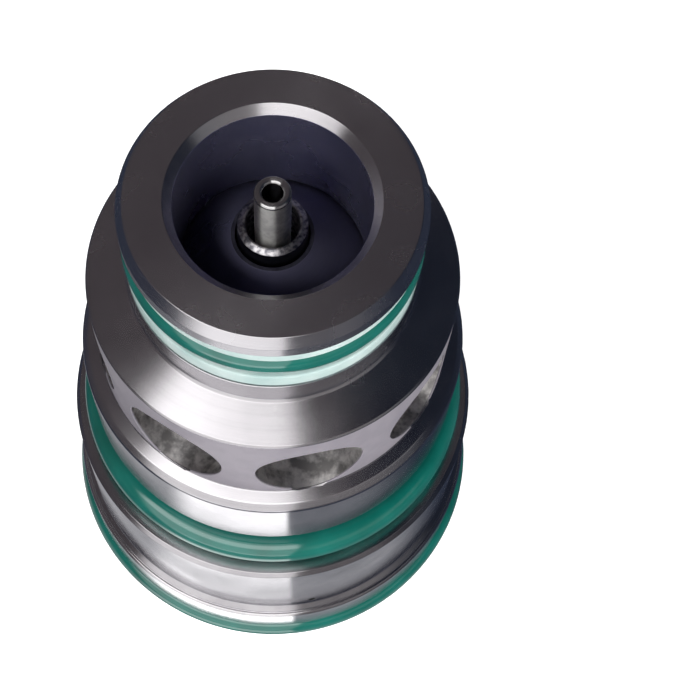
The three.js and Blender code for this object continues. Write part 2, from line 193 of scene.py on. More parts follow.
def cad_outline(node, azimuth=0.0):
    """A turned CAD node's closed outline, as (radius, height) points in a half plane."""
    angle = azimuth + OUTLINE_OFFSET
    outward = Vector((math.cos(angle), math.sin(angle), 0))
    mesh = bmesh.new()
    mesh.from_mesh(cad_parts[node].data)
    bmesh.ops.remove_doubles(mesh, verts=mesh.verts, dist=WELD)
    found = bmesh.ops.bisect_plane(
        mesh,
        geom=mesh.verts[:] + mesh.edges[:] + mesh.faces[:],
        plane_co=(0, 0, 0),
        plane_no=(-outward.y, outward.x, 0),
        dist=ON_PLANE,
    )["geom_cut"]
    cut = [
        edge for edge in found
        if isinstance(edge, bmesh.types.BMEdge) and all(v.co.dot(outward) > 0 for v in edge.verts)
    ]
    neighbours = {}
    for edge in cut:
        a, b = edge.verts
        neighbours.setdefault(a, []).append(b)
        neighbours.setdefault(b, []).append(a)
    start = cut[0].verts[0]
    loop, last, here = [], None, start
    while True:
        loop.append((here.co.dot(outward), here.co.z))
        onward = [v for v in neighbours[here] if v is not last]
        last, here = here, onward[0]
        if here is start:
            break
    mesh.free()
    return without_straights(loop)


def without_straights(points):
    """Drops the points at which a closed outline doesn't turn."""
    kept = []
    for index, (x, y) in enumerate(points):
        ax, ay = points[index - 1]
        bx, by = points[(index + 1) % len(points)]
        cross = (x - ax) * (by - y) - (y - ay) * (bx - x)
        size = math.hypot(x - ax, y - ay) * math.hypot(bx - x, by - y)
        if size > 0 and abs(cross) / size > LEAST_TURN:
            kept.append((x, y))
    return kept


def rounded(points, fillet, special=()):
    """Rounds every corner of a closed outline.

    special lists (radius, height, fillet) for single corners.
    """
    made = []
    for index, point in enumerate(points):
        corner = Vector(point)
        before = Vector(points[index - 1]) - corner
        after = Vector(points[(index + 1) % len(points)]) - corner
        own = (s[2] for s in special if (Vector(s[:2]) - corner).length < SAME_CORNER)
        size = next(own, fillet)
        turn = math.pi - before.angle(after)
        longest = FILLET_SHARE * min(before.length, after.length)
        reach = min(size * math.tan(turn / 2), longest)
        first = corner + before.normalized() * reach
        last = corner + after.normalized() * reach
        steps = max(2, math.ceil(turn / ARC_STEP))
        bow = reach / math.tan(turn / 2)
        middle = (before.normalized() + after.normalized()).normalized()
        centre = corner + middle * math.hypot(reach, bow)
        start = first - centre
        sweep = start.angle_signed(last - centre)
        for step in range(steps + 1):
            angle = -sweep * step / steps
            cos, sin = math.cos(angle), math.sin(angle)
            offset = Vector((start.x * cos - start.y * sin, start.x * sin + start.y * cos))
            made.append(tuple(centre + offset))
    return made


def revolve(name, points, facets, wave=None):
    """Turns a closed outline about the valve's axis.

    wave(radius, height, angle) moves single points.
    """
    mesh = bmesh.new()
    rings = []
    for facet in range(facets):
        angle = TURN * facet / facets
        ring = []
        for radius, height in points:
            r, z = wave(radius, height, angle) if wave else (radius, height)
            ring.append(mesh.verts.new((r * math.cos(angle), r * math.sin(angle), z)))
        rings.append(ring)
    count = len(points)
    for facet in range(facets):
        here, there = rings[facet], rings[(facet + 1) % facets]
        for index in range(count):
            onward = (index + 1) % count
            mesh.faces.new((here[index], there[index], there[onward], here[onward]))
    return finish_mesh(name, mesh)


def tube_of_rings(name, rings):
    """A closed solid through a list of rings of points, with flat ends."""
    mesh = bmesh.new()
    made = [[mesh.verts.new(point) for point in ring] for ring in rings]
    for here, there in zip(made, made[1:]):
        for index in range(len(here)):
            onward = (index + 1) % len(here)
            mesh.faces.new((here[index], here[onward], there[onward], there[index]))
    mesh.faces.new(made[0])
    mesh.faces.new(made[-1])
    return finish_mesh(name, mesh)


def column(name, radius, low, high, sides, x=0.0, y=0.0):
    """A round or many-sided bar along Z."""
    ring = [(x + radius * math.cos(TURN * i / sides), y + radius * math.sin(TURN * i / sides))
            for i in range(sides)]
    return tube_of_rings(name, [[(px, py, z) for px, py in ring] for z in (low, high)])


def bar(name, low, high):
    """A plain block between two corners, used only to cut with."""
    corners = [(low[0], low[1]), (high[0], low[1]), (high[0], high[1]), (low[0], high[1])]
    return tube_of_rings(name, [[(x, y, z) for x, y in corners] for z in (low[2], high[2])])


# ---------------------------------------------------------------- pieces


def place(piece, node, body, slot, material):
    """Puts a finished piece in place of its CAD node."""
    piece.data.materials.clear()
    piece.data.materials.append(material)
    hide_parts(node)
    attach(piece, body)
    return piece


def turned_piece(node, facets, fillet, azimuth=0.0, special=()):
    """A finer copy of a turned CAD node."""
    return revolve(node + "_fine", rounded(cad_outline(node, azimuth), fillet, special), facets)


def side_drill(angle, height, radius, edge, wall_radius, sides):
    """A drill across the valve's wall that also rounds the edge of the hole it leaves.

    The rings follow the round wall, so the rounded edge has the same width all the way.
    """
    outward = Vector((math.cos(angle), math.sin(angle), 0))
    across = Vector((-outward.y, outward.x, 0))

    def ring(rho, distance_of):
        points = []
        for index in range(sides):
            turn = TURN * index / sides
            side, rise = rho * math.cos(turn), rho * math.sin(turn)
            distance = distance_of(math.sqrt(wall_radius ** 2 - side ** 2))
            points.append(outward * distance + across * side + Vector((0, 0, height + rise)))
        return points

    rings = [ring(radius, lambda wall: DRILL_START)]
    for degrees in DRILL_EDGE_DEGREES:
        bow = math.radians(degrees)
        rho = radius + edge * (1 - math.cos(bow))
        rings.append(ring(rho, lambda wall, bow=bow: wall - edge * (1 - math.sin(bow))))
    rings.append(ring(radius + edge, lambda wall: wall_radius + DRILL_RUNOUT))
    return tube_of_rings("drill", rings)


def sleeve_piece():
    """The sleeve, with its ports and its vent."""
    piece = turned_piece("sleeve", FINE, 0.16 * MM, SLEEVE_CUT, COLLAR_CORNERS)
    for port in range(PORT_COUNT):
        angle = TURN * port / PORT_COUNT
        tool = side_drill(angle, PORT_HEIGHT, PORT_RADIUS, PORT_EDGE, WAIST_RADIUS, SMALL)
        combine(piece, tool, "DIFFERENCE")
    tool = side_drill(FRONT, VENT_HEIGHT, VENT_RADIUS, VENT_EDGE, LAND_RADIUS, SMALL // 3)
    combine(piece, tool, "DIFFERENCE")
    return piece


def o_ring_piece(node, facets, sides, waviness):
    """A moulded O-ring, with the mould's faint flash line, that lies a little unevenly."""
    low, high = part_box(node)
    section = (high.z - low.z) / 2
    radius = high.x - section
    middle = (high.z + low.z) / 2
    phase = radius * 900              # differs from ring to ring
    points = []
    for index in range(sides):
        turn = TURN * index / sides
        flash = FLASH_HEIGHT * section * math.exp(-(math.sin(turn) / FLASH_WIDTH) ** 2)
        bow = section - waviness + flash
        points.append((radius + bow * math.cos(turn), middle + bow * math.sin(turn)))

    def wave(r, z, angle):
        slow, quick = math.sin(3 * angle + phase), math.sin(7 * angle + 1.3)
        return r, z + waviness * (0.6 * slow + 0.4 * quick) * 0.8

    return revolve(node + "_fine", points, facets, wave)


def backup_ring_piece(node):
    """A skived PTFE ring: rounded corners, and not quite round."""
    outline = rounded(cad_outline(node), BACKUP_FILLET)
    low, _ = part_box(node)
    phase = low.z * 5000              # differs from ring to ring

    def wave(r, z, angle):
        return r - BACKUP_PLAY * (1 + math.sin(2 * angle + phase)), z

    return revolve(node + "_fine", outline, FINE, wave)


def spring_piece(node, spring):
    """A compression spring with closed, ground ends."""
    low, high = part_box(node)
    wire, turns, end_pitch = spring["wire"], spring["turns"], spring["end_pitch"]
    length = high.z - low.z - wire
    pitch = (length - 2 * end_pitch) / (turns - 2)
    steps = turns * SPRING_STEPS
    rings = []
    for step in range(steps + 1):
        turn = turns * step / steps
        rise = min(turn, 1) * end_pitch
        rise += min(max(turn - 1, 0), turns - 2) * pitch
        rise += max(turn - turns + 1, 0) * end_pitch
        angle = TURN * turn
        outward = Vector((math.cos(angle), math.sin(angle), 0))
        centre = outward * spring["radius"] + Vector((0, 0, low.z + wire / 2 + rise))
        ring = []
        for side in range(SPRING_SIDES):
            bow = TURN * side / SPRING_SIDES
            point = centre + outward * wire * math.cos(bow) + Vector((0, 0, wire * math.sin(bow)))
            point.z = min(max(point.z, low.z), high.z)
            ring.append(point)
        rings.append(ring)
    return tube_of_rings(node + "_fine", rings)


def retaining_ring_piece(node, inner, lug, lug_hole, opening):
    """An internal retaining ring with plier lugs, and slightly rounded edges as from stamping."""
    low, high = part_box(node)
    outer = -low.x
    section = [(inner, low.z), (outer, low.z), (outer, high.z), (inner, high.z)]
    section = rounded(section, CLIP_EDGE)
    rings = []
    for step in range(CLIP_STEPS + 1):
        angle = opening + (TURN - 2 * opening) * step / CLIP_STEPS
        rings.append([(r * math.cos(angle), r * math.sin(angle), z) for r, z in section])
    piece = tube_of_rings(node + "_fine", rings)
    for side in (-1, 1):
        angle = side * (opening + lug / inner)
        distance = inner - lug / 2
        x, y = distance * math.cos(angle), distance * math.sin(angle)
        combine(piece, column("lug", lug, low.z, high.z, SMALL // 2, x, y), "UNION")
        bottom, top = low.z - CUT_MARGIN, high.z + CUT_MARGIN
        combine(piece, column("hole", lug_hole, bottom, top, SMALL // 4, x, y), "DIFFERENCE")
    return piece


def drilled(piece, low, high, holes):
    """Drills holes along the axis, given as (x, y, radius)."""
    for x, y, radius in holes:
        combine(piece, column("drill", radius, low, high, SMALL // 2, x, y), "DIFFERENCE")
    return piece


def spring_plate_piece():
    """The pilot spring's plate, with a ring of drilled holes."""
    piece = turned_piece("pilot_spring_plate", SMALL, 0.2 * MM, PLATE_CUT)
    low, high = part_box("pilot_spring_plate")
    holes = []
    for index in range(PLATE_HOLES):
        angle = TURN * index / PLATE_HOLES
        x, y = PLATE_PITCH_RADIUS * math.cos(angle), PLATE_PITCH_RADIUS * math.sin(angle)
        holes.append((x, y, PLATE_HOLE_RADIUS))
    return drilled(piece, low.z - CUT_MARGIN, high.z + CUT_MARGIN, holes)


def end_plate_piece():
    """The end plate, with two blind holes in its outer face."""
    piece = turned_piece("end_plate", MEDIUM, 0.25 * MM)
    low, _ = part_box("end_plate")
    holes = [(0, side * END_HOLE_OFFSET, END_HOLE_RADIUS) for side in (-1, 1)]
    return drilled(piece, low.z - CUT_MARGIN, low.z + END_HOLE_DEPTH, holes)


def jet_piece(node, orifice):
    """A plain screwed-in jet with a fine bore. Its screwdriver slot or socket is cut afterwards."""
    low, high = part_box(node)
    section = [(orifice, low.z), (high.x, low.z), (high.x, high.z), (orifice, high.z)]
    return revolve(node + "_fine", rounded(section, JET_EDGE), SMALL)


def pilot_jet_piece():
    piece = jet_piece("pilot_jet", PILOT_ORIFICE)
    low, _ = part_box("pilot_jet")
    first = (-SLOT_HALF_LENGTH, -SLOT_HALF_WIDTH, low.z - CUT_MARGIN)
    last = (SLOT_HALF_LENGTH, SLOT_HALF_WIDTH, low.z + SLOT_DEPTH)
    combine(piece, bar("slot", first, last), "DIFFERENCE")
    return piece


def end_jet_piece():
    piece = jet_piece("end_plate_jet", END_ORIFICE)
    low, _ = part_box("end_plate_jet")
    bottom, top = low.z - CUT_MARGIN, low.z + SOCKET_DEPTH
    combine(piece, column("socket", SOCKET_RADIUS, bottom, top, sides=6), "DIFFERENCE")
    return piece


# ---------------------------------------------------------------- materials


class Paint:
    """A small helper round a material's node tree."""

    def __init__(self, name):
        self.material = bpy.data.materials.new(name)
        self.material.use_nodes = True
        self.tree = self.material.node_tree
        self.shader = self.tree.nodes["Principled BSDF"]

    def node(self, kind, links=None, **settings):
        made = self.tree.nodes.new(kind)
        for key, value in settings.items():
            setattr(made, key, value)
        for socket, value in (links or {}).items():
            self.feed(made.inputs[socket], value)
        return made

    def feed(self, socket, value):
        """Links another node's output to a socket, or sets the socket's own value."""
        if isinstance(value, bpy.types.NodeSocket):
            self.tree.links.new(value, socket)
        else:
            socket.default_value = value

    def set(self, **values):
        """Sets the shader's sockets. A socket's name has _ for each space."""
        for key, value in values.items():
            self.feed(self.shader.inputs[key.replace("_", " ")], value)

    def place_of(self):
        return self.node("ShaderNodeTexCoord").outputs["Object"]

    def math(self, operation, *values):
        links = dict(enumerate(values))
        return self.node("ShaderNodeMath", links, operation=operation).outputs[0]

    def within(self, value, low, high):
        """1 where the value is between low and high, and 0 elsewhere."""
        return self.math("COMPARE", value, (low + high) / 2, (high - low) / 2)

    def ramp(self, factor, stops):
        made = self.node("ShaderNodeValToRGB", {"Fac": factor})
        elements = made.color_ramp.elements
        for element, (position, colour) in zip(elements, stops):
            element.position = position
            element.color = (*colour, 1)
        return made.outputs["Color"]

    def mix(self, share, first, second):
        """Mixes two colours, which are the mix node's inputs 6 and 7 and its output 2."""
        links = {"Factor": share, 6: first, 7: second}
        return self.node("ShaderNodeMix", links, data_type="RGBA").outputs[2]

    def noise(self, vector, scale, detail, roughness=0.5):
        links = {"Vector": vector, "Scale": scale, "Detail": detail, "Roughness": roughness}
        return self.node("ShaderNodeTexNoise", links).outputs["Fac"]

    def spread(self, value, low, high):
        """Stretches a noise over a range."""
        links = {"Value": value, "To Min": low, "To Max": high, "From Min": 0.3, "From Max": 0.7}
        return self.node("ShaderNodeMapRange", links).outputs["Result"]

    def bump(self, height, distance):
        links = {"Height": height, "Distance": distance, "Strength": 1.0}
        return self.node("ShaderNodeBump", links).outputs["Normal"]


def lathe_coordinates(paint, pitch):
    """Coordinates that are the same all round the axis, so a noise in them makes turning rings."""
    place_of = paint.place_of()
    parts = paint.node("ShaderNodeSeparateXYZ", {"Vector": place_of}).outputs
    x, y, height = parts["X"], parts["Y"], parts["Z"]
    square = paint.math("ADD", paint.math("MULTIPLY", x, x), paint.math("MULTIPLY", y, y))
    radius = paint.math("SQRT", square)
    scale = 1 / pitch
    links = {
        "X": paint.math("MULTIPLY", radius, scale),
        "Y": paint.math("MULTIPLY", height, scale),
        "Z": 0.0,
    }
    rings = paint.node("ShaderNodeCombineXYZ", links).outputs["Vector"]
    return place_of, rings, radius, height


def turned_steel(name, colour, shade_colour, roughness, anisotropy, pitch, depth, metal=1.0, zones=()):
    """Turned steel: rings from the tool, fine scratches, an uneven oil film and small stains.

    A zone is a part of the piece, given by its radii and heights, with its own colour, roughness and
    metal. Several zones paint light or shade into that colour.
    """
    paint = Paint(name)
    place_of, rings, radius, height = lathe_coordinates(paint, pitch)
    ring = paint.noise(rings, scale=1, detail=6, roughness=0.62)
    film = paint.noise(place_of, scale=90, detail=4)
    speck = paint.noise(place_of, scale=900, detail=3, roughness=0.6)
    cloud = paint.math("ADD", paint.math("MULTIPLY", film, 0.7), paint.math("MULTIPLY", ring, 0.3))
    stains_and_painted_light = paint.ramp(cloud, [(0.3, shade_colour), (0.62, colour)])
    gloss = paint.spread(film, roughness - 0.03, roughness + 0.05)
    # Some zones paint light or shade into the colour: brighter ones as a painted highlight, nearly
    # black ones as painted shade.
    for zone in zones:
        across = paint.within(radius, zone["inner"], zone["outer"])
        along = paint.within(height, zone["low"], zone["high"])
        mask = paint.math("MULTIPLY", across, along)
        patch = paint.noise(place_of, scale=1 / zone["patch"], detail=5, roughness=0.6)
        zone_colour_and_painted_light = paint.ramp(patch, [(0.4, zone["shade"]), (0.6, zone["colour"])])
        stains_and_painted_light = paint.mix(mask, stains_and_painted_light, zone_colour_and_painted_light)
        gloss = paint.math("ADD", gloss, paint.math("MULTIPLY", mask, zone["rougher"]))
        metal = paint.math("SUBTRACT", metal, paint.math("MULTIPLY", mask, 1 - zone["metal"]))
    marks = paint.math("ADD", ring, paint.math("MULTIPLY", speck, 0.08))
    tangent = paint.node("ShaderNodeTangent", direction_type="RADIAL", axis="Z")
    paint.set(Base_Color=stains_and_painted_light, Metallic=metal, Roughness=gloss, Normal=paint.bump(marks, depth))
    # A quarter turn spreads the reflections across the rings, up and down the walls.
    paint.set(Anisotropic=anisotropy, Anisotropic_Rotation=0.25, Tangent=tangent.outputs["Tangent"])
    return paint.material


def wire_steel():
    """Drawn and oil-hardened spring wire."""
    paint = Paint("spring_wire")
    place_of = paint.place_of()
    cloud = paint.noise(place_of, scale=260, detail=5, roughness=0.6)
    grain = paint.noise(place_of, scale=1800, detail=3)
    colour = paint.ramp(cloud, [(0.35, (0.13, 0.13, 0.15)), (0.65, (0.32, 0.32, 0.34))])
    paint.set(Base_Color=colour, Metallic=1.0, Roughness=paint.spread(cloud, 0.28, 0.42))
    paint.set(Normal=paint.bump(grain, 4e-6))
    return paint.material


def phosphated_steel():
    """The matt black of a retaining ring."""
    paint = Paint("phosphated_steel")
    grain = paint.noise(paint.place_of(), scale=2500, detail=4, roughness=0.7)
    colour = paint.ramp(grain, [(0.3, (0.018, 0.018, 0.02)), (0.7, (0.06, 0.06, 0.063))])
    paint.set(Base_Color=colour, Metallic=0.6, Roughness=paint.spread(grain, 0.45, 0.62))
    paint.set(Normal=paint.bump(grain, 8e-6))
    return paint.material


def seal_rubber():
    """Smooth moulded rubber with a thin film of oil."""
    paint = Paint("seal_rubber")
    place_of = paint.place_of()
    cloud = paint.noise(place_of, scale=120, detail=4)
    grain = paint.noise(place_of, scale=1600, detail=3)
    colour = paint.ramp(cloud, [(0.3, (0.001, 0.052, 0.04)), (0.7, (0.002, 0.082, 0.065))])
    paint.set(Base_Color=colour, Roughness=paint.spread(cloud, 0.34, 0.46), Specular_IOR_Level=0.15)
    paint.set(Coat_Weight=1.0, Coat_Roughness=0.09, Coat_IOR=1.82)
    paint.set(Normal=paint.bump(grain, 1.2e-5))
    return paint.material


def ptfe(name, dark, light, translucent):
    """PTFE with faint skiving lines."""
    paint = Paint(name)
    place_of, rings = lathe_coordinates(paint, 0.5 * MM)[:2]
    cloud = paint.noise(place_of, scale=160, detail=4)
    line = paint.noise(rings, scale=1, detail=4)
    colour = paint.ramp(cloud, [(0.3, dark), (0.7, light)])
    paint.set(Base_Color=colour, Roughness=paint.spread(cloud, 0.34, 0.48), Specular_IOR_Level=0.25)
    depths = (1.5 * MM, 1.5 * MM, 1.5 * MM)
    paint.set(Subsurface_Weight=translucent, Subsurface_Radius=depths, Subsurface_Scale=1.0)
    paint.set(Normal=paint.bump(line, 1.5e-5))
    return paint.material


WAIST_FINISH = {
    "inner": 28.9 * MM, "outer": 29.5 * MM, "low": 66.9 * MM, "high": 87.7 * MM,
    "colour": (0.175, 0.162, 0.182), "shade": (0.155, 0.143, 0.163), "patch": 6 * MM,
    "rougher": 0.3, "metal": 0.2,
}
# The ports' walls: random mottling, and painted brighter overall than the sleeve's steel as a painted
# highlight.
PORT_MOTTLE_AND_PAINTED_HIGHLIGHT = {
    "inner": 19.5 * MM, "outer": 28.9 * MM, "low": 66 * MM, "high": 84 * MM,
    "colour": (0.97, 0.95, 0.93), "shade": (0.36, 0.35, 0.345), "patch": 3 * MM,
    "rougher": 0.14, "metal": 1.0,
}
# The bore's wall, painted darker and bluer than the sleeve's steel: painted shade.
BORE_PAINTED_SHADE = {
    "inner": 14.2 * MM, "outer": 14.6 * MM, "low": 90 * MM, "high": 110.2 * MM,
    "colour": (0.38, 0.37, 0.52), "shade": (0.31, 0.31, 0.46), "patch": 9 * MM,
    "rougher": 0.02, "metal": 0.95,
}
LAND_FINISH = {
    "inner": 31.7 * MM, "outer": 38.5 * MM, "low": 2 * MM, "high": 65 * MM,
    "colour": (0.60, 0.59, 0.61), "shade": (0.52, 0.51, 0.53), "patch": 9 * MM,
    "rougher": -0.07, "metal": 1.0,
}
# The flange's wall, painted brighter than the sleeve's steel: a painted highlight.
FLANGE_PAINTED_HIGHLIGHT = {
    "inner": 37.6 * MM, "outer": 38.5 * MM, "low": 2 * MM, "high": 65 * MM,
    "colour": (0.80, 0.79, 0.81), "shade": (0.72, 0.71, 0.73), "patch": 9 * MM,
    "rougher": 0.0, "metal": 1.0,
}
# Inside the vent hole, painted nearly black: painted shade.
VENT_PAINTED_SHADE = {
    "inner": 30 * MM, "outer": 36.48 * MM, "low": 17.7 * MM, "high": 19.7 * MM,
    "colour": (0.02, 0.02, 0.02), "shade": (0.015, 0.015, 0.015), "patch": 1 * MM,
    "rougher": 0.3, "metal": 0.5,
}
# The poppet round the pilot seat ring, painted nearly black: painted shade in the gap.
SEAT_GAP_PAINTED_SHADE = {
    "inner": 4 * MM, "outer": 6.2 * MM, "low": 90 * MM, "high": 112 * MM,
    "colour": (0.05, 0.05, 0.07), "shade": (0.03, 0.03, 0.045), "patch": 2 * MM,
    "rougher": 0.1, "metal": 1.0,
}
SEAT_CROWN = {
    "inner": 0, "outer": 5.2 * MM, "low": 90 * MM, "high": 113 * MM,
    "colour": (0.52, 0.51, 0.52), "shade": (0.14, 0.14, 0.16), "patch": 0.7 * MM,
    "rougher": 0.0, "metal": 1.0,
}
# The pilot tube's outer wall, painted brighter than the tube's own steel: a painted highlight.
TUBE_WALL_PAINTED_HIGHLIGHT = {
    "inner": 2.6 * MM, "outer": 2.8 * MM, "low": 95 * MM, "high": 112.9 * MM,
    "colour": (0.95, 0.95, 0.92), "shade": (0.75, 0.75, 0.73), "patch": 1.5 * MM,
    "rougher": 0.15, "metal": 1.0,
}
# Inside the pilot tube's bore, painted nearly black: painted shade.
TUBE_BORE_PAINTED_SHADE = {
    "inner": 0, "outer": 1.6 * MM, "low": 90 * MM, "high": 113.1 * MM,
    "colour": (0.05, 0.05, 0.055), "shade": (0.03, 0.03, 0.035), "patch": 1 * MM,
    "rougher": 0.1, "metal": 1.0,
}

SLEEVE = turned_steel(
    "turned_sleeve", (0.60, 0.59, 0.61), (0.50, 0.49, 0.51),
    roughness=0.24, anisotropy=0.6, pitch=0.55 * MM, depth=3e-6,
    zones=(WAIST_FINISH, PORT_MOTTLE_AND_PAINTED_HIGHLIGHT, BORE_PAINTED_SHADE, LAND_FINISH, FLANGE_PAINTED_HIGHLIGHT, VENT_PAINTED_SHADE),
)
# Dark, blue-tinted steel stands in for the shade down in the bore: painted shade. The end plate and
# the spring plate share it.
POPPET = turned_steel(
    "poppet_steel_painted_shade", (0.145, 0.14, 0.21), (0.11, 0.11, 0.18),
    roughness=0.3, anisotropy=0.5, pitch=0.5 * MM, depth=3e-6, metal=0.75,
    zones=(SEAT_GAP_PAINTED_SHADE,),
)
BRIGHT = turned_steel(
    "bright_steel", (0.72, 0.72, 0.73), (0.60, 0.60, 0.62),
    roughness=0.22, anisotropy=0.4, pitch=0.4 * MM, depth=3e-6,
)
# The ring's nearly black base colour is painted shade on its outer wall and foot, down in the gap; the
# crown zone has the steel's own tone with random mottling.
SEAT = turned_steel(
    "seat_steel_painted_shade", (0.07, 0.07, 0.085), (0.045, 0.045, 0.06),
    roughness=0.34, anisotropy=0.3, pitch=0.3 * MM, depth=4e-6,
    zones=(SEAT_CROWN,),
)
DRAWN = turned_steel(
    "drawn_tube", (0.60, 0.60, 0.60), (0.45, 0.45, 0.45),
    roughness=0.2, anisotropy=1.0, pitch=0.3 * MM, depth=3e-6,
    zones=(TUBE_WALL_PAINTED_HIGHLIGHT, TUBE_BORE_PAINTED_SHADE),
)
WIRE = wire_steel()
BLACK = phosphated_steel()
RUBBER = seal_rubber()
WHITE = ptfe("white_backup", (0.20, 0.275, 0.265), (0.30, 0.355, 0.345), translucent=0.3)
BRONZE = ptfe("bronze_filled_ptfe", (0.12, 0.07, 0.03), (0.24, 0.15, 0.07), translucent=0.0)

# ---------------------------------------------------------------- the valve


def build_sleeve_body():
    body = "sleeve"
    sleeve = sleeve_piece()
    weigh_normals(sleeve)
    place(sleeve, "sleeve", body, "sleeve_steel", SLEEVE)
    for node in ("nose_o_ring", "collar_o_ring", "flange_o_ring"):
        ring = o_ring_piece(node, FINE, sides=48, waviness=0.05 * MM)
        place(ring, node, body, "green_rubber", RUBBER)
    for node in ("nose_backup_ring_upper", "nose_backup_ring_lower"):
        place(backup_ring_piece(node), node, body, "white_ptfe", WHITE)
    plate = end_plate_piece()
    weigh_normals(plate)
    place(plate, "end_plate", body, "poppet_steel", POPPET)
    ring = o_ring_piece("end_plate_o_ring", MEDIUM, sides=32, waviness=0.02 * MM)
    place(ring, "end_plate_o_ring", body, "green_rubber", RUBBER)
    clip = retaining_ring_piece("end_plate_retaining_ring", **END_CLIP)
    weigh_normals(clip)
    place(clip, "end_plate_retaining_ring", body, "black_steel", BLACK)
    jet = end_jet_piece()
    weigh_normals(jet)
    place(jet, "end_plate_jet", body, "bright_steel", BRIGHT)
    shim = turned_piece("main_spring_shim", MEDIUM, 0.1 * MM)
    weigh_normals(shim)
    place(shim, "main_spring_shim", body, "bright_steel", BRIGHT)
    spring = spring_piece("main_spring", MAIN_SPRING)
    place(spring, "main_spring", body, "spring_steel", WIRE)
    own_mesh(spring)


def build_poppet_body():
    body = "main_poppet"
    turned_nodes = [
        ("main_poppet", POPPET_FACETS, 0.07 * MM, "poppet_steel", POPPET),
        ("pilot_seat_ring", MEDIUM, 0.3 * MM, "bright_steel", SEAT),
        ("poppet_slide_ring", MEDIUM, 0.2 * MM, "bronze_ptfe", BRONZE),
        ("poppet_guide_ring", MEDIUM, 0.2 * MM, "bronze_ptfe", BRONZE),
    ]
    for node, facets, fillet, slot, material in turned_nodes:
        piece = turned_piece(node, facets, fillet)
        weigh_normals(piece)
        place(piece, node, body, slot, material)
    ring = o_ring_piece("poppet_energiser_ring", MEDIUM, sides=24, waviness=0.01 * MM)
    place(ring, "poppet_energiser_ring", body, "green_rubber", RUBBER)
    plate = spring_plate_piece()
    weigh_normals(plate)
    place(plate, "pilot_spring_plate", body, "poppet_steel", POPPET)
    clip = retaining_ring_piece("pilot_retaining_ring", **PILOT_CLIP)
    weigh_normals(clip)
    place(clip, "pilot_retaining_ring", body, "black_steel", BLACK)
    spring = spring_piece("pilot_spring", PILOT_SPRING)
    place(spring, "pilot_spring", body, "spring_steel", WIRE)
    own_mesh(spring)


def build_pilot_body():
    body = "pilot_poppet"
    poppet = turned_piece("pilot_poppet", SMALL, 0.15 * MM)
    weigh_normals(poppet)
    place(poppet, "pilot_poppet", body, "poppet_steel", POPPET)
    tube = turned_piece("pilot_tube", SMALL, 0.3 * MM)
    weigh_normals(tube)
    place(tube, "pilot_tube", body, "bright_steel", DRAWN)
    jet = pilot_jet_piece()
    weigh_normals(jet)
    place(jet, "pilot_jet", body, "bright_steel", BRIGHT)


build_sleeve_body()
build_poppet_body()
build_pilot_body()

# ---------------------------------------------------------------- camera

CAMERA_AZIMUTH = math.radians(-11.8)
CAMERA_ELEVATION = math.radians(61.742)
CAMERA_DISTANCE = 212.8 * MM
CAMERA_DROP = math.radians(67.51)     # how far below the horizon the camera looks
CAMERA_LENS = 77.14                   # on a 36 mm sensor
CAMERA_SHIFT = 0.1104


def towards(azimuth, elevation=0.0):
    """The direction from the valve at an azimuth round from -Y towards +X."""
    flat = math.cos(elevation)
    return Vector((math.sin(azimuth) * flat, -math.cos(azimuth) * flat, math.sin(elevation)))


def make_camera():
    _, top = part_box("sleeve")
    data = bpy.data.cameras.new("camera")
    data.lens = CAMERA_LENS
    data.shift_x = CAMERA_SHIFT
    data.clip_start = 1 * MM
    camera = bpy.data.objects.new("camera", data)
    offset = towards(CAMERA_AZIMUTH, CAMERA_ELEVATION) * CAMERA_DISTANCE
    camera.location = Vector((0, 0, top.z)) + offset
    camera.rotation_euler = (math.pi / 2 - CAMERA_DROP, 0, CAMERA_AZIMUTH)
    bpy.context.scene.collection.objects.link(camera)
    bpy.context.scene.camera = camera


# ---------------------------------------------------------------- studio

LAMP = Vector((1.0, 0.985, 0.98))
SHADE = Vector((1.0, 0.87, 0.94))
COOL_SHADE = Vector((0.5, 0.62, 1.0))

DOME_RADIUS = 1.2
DOME_LOW = -6                         # degrees above the horizon
DOME_HIGH = 89
DOME_ROWS = 96

TABLE_REACH = 1.0
TABLE_HOLE = 1 * MM
TABLE_DROP = 0.2 * MM                 # under the floor, which reflections don't show
TABLE_ROWS = 240
FOOT_EDGE = 41.4 * MM                 # the flange reflects the table up to here
MIDDLE_EDGE = 46 * MM                 # the land reflects it up to here
NEAR_EDGE = 78 * MM                   # the collar, the waist and the nose reflect it up to here
FAR_EDGE = 300 * MM                   # what leans outwards reflects it from here on

COLUMNS = 480                         # round the dome and the table
FLOOR_RADIUS = 3.0


def soft_step(value, edge, width):
    """0 well below the edge and 1 well above it."""
    share = min(max((value - edge) / width + 0.5, 0.0), 1.0)
    return share * share * (3 - 2 * share)


def band(value, low, high, low_width, high_width):
    """1 well between low and high, and 0 well outside them."""
    return soft_step(value, low, low_width) * (1 - soft_step(value, high, high_width))


def wrapped(degrees):
    return (degrees + 180) % 360 - 180


def dome_glow(azimuth, elevation):
    """How bright the studio is in a direction, in degrees round from the camera and up.

    The key is a tall lamp to the camera's left that widens upwards and is brightest half way up.
    """
    side, rise = wrapped(azimuth), max(elevation, 0)
    left = -50 - 23 * rise / 65
    right = 7 + 9 * rise / 75
    brightness = band(elevation, -6, 78, 2, 5) + 1.7 * band(elevation, 40, 66, 8, 10)
    key = band(side, left, right, 10, 1.5) * brightness
    fill = 0.25 * band(side, 12, 70, 12, 14) * band(elevation, 16, 38, 8, 8)
    above = 0.25 * soft_step(elevation, 83, 6)
    cool = band(side, 50, 150, 30, 30)
    return LAMP * (key + fill + above) + SHADE * 0.082 * (1 - cool) + COOL_SHADE * 0.03 * cool


